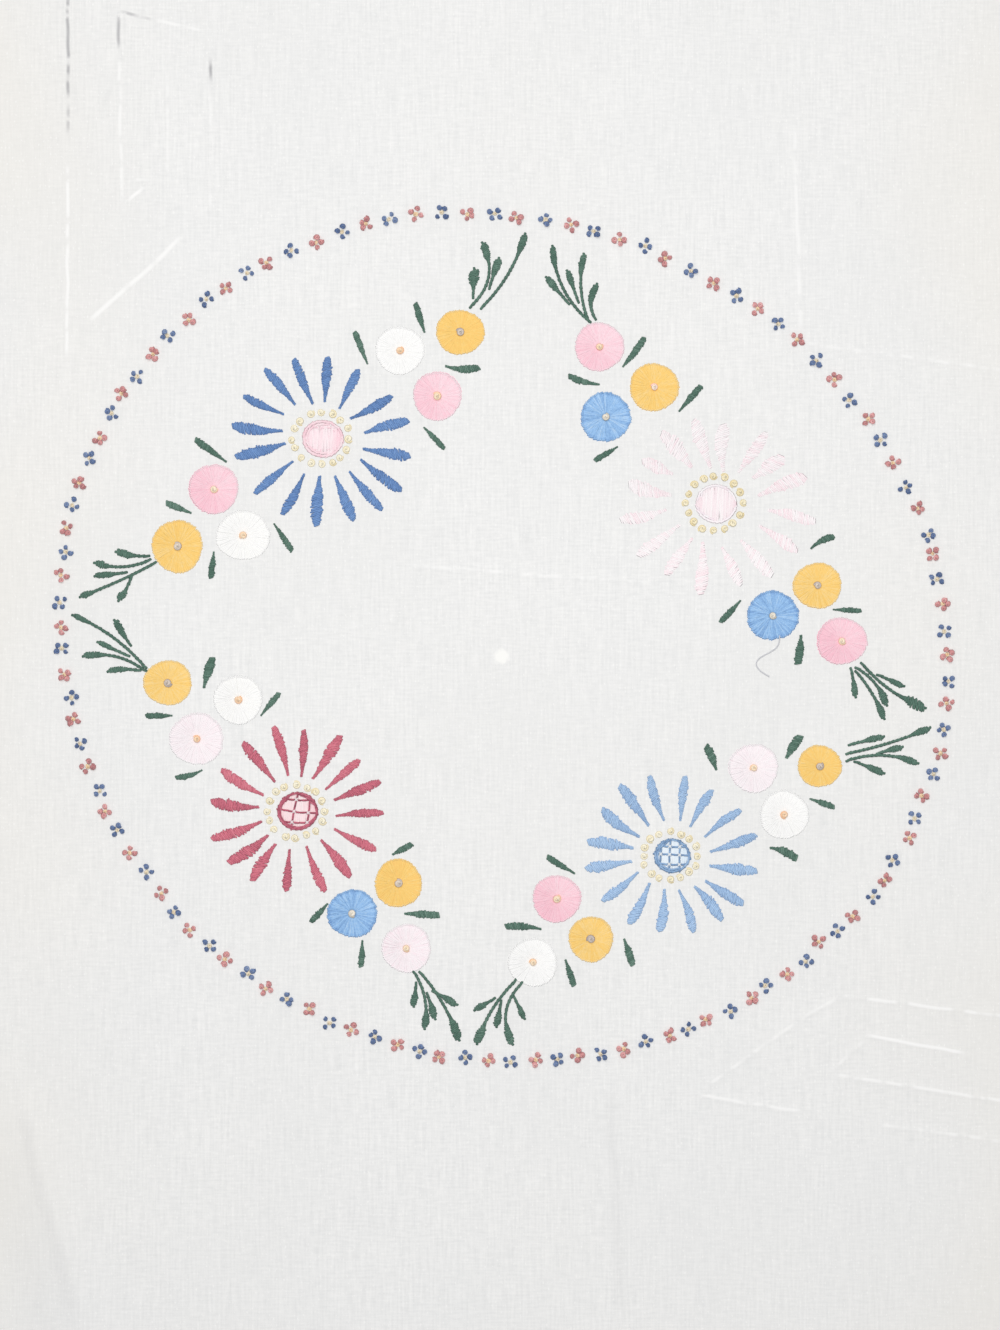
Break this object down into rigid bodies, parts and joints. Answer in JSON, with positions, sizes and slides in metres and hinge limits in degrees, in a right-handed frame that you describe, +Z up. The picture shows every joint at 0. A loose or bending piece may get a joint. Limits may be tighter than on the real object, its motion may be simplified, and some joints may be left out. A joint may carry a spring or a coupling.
{
  "type": "embroidered tablecloth",
  "caption": "Flat square white cotton tablecloth with a hem, embroidered with a ring of florets round daisies, round flowers, leaves and grass.",
  "frame": {"origin": "on the underside, at the middle of the cloth and of its embroidered ring", "axes": "+Z up, out of the embroidered face; +X to the right and +Y to the top of the design as seen from above"},
  "size_m": [0.9026, 0.9027, 0.0042],
  "materials": {
    "cotton_cloth": "matte",
    "embroidery_thread": "satin"
  },
  "bodies": {
    "root": {"tablecloth": "cotton_cloth"}
  },
  "joints": []
}
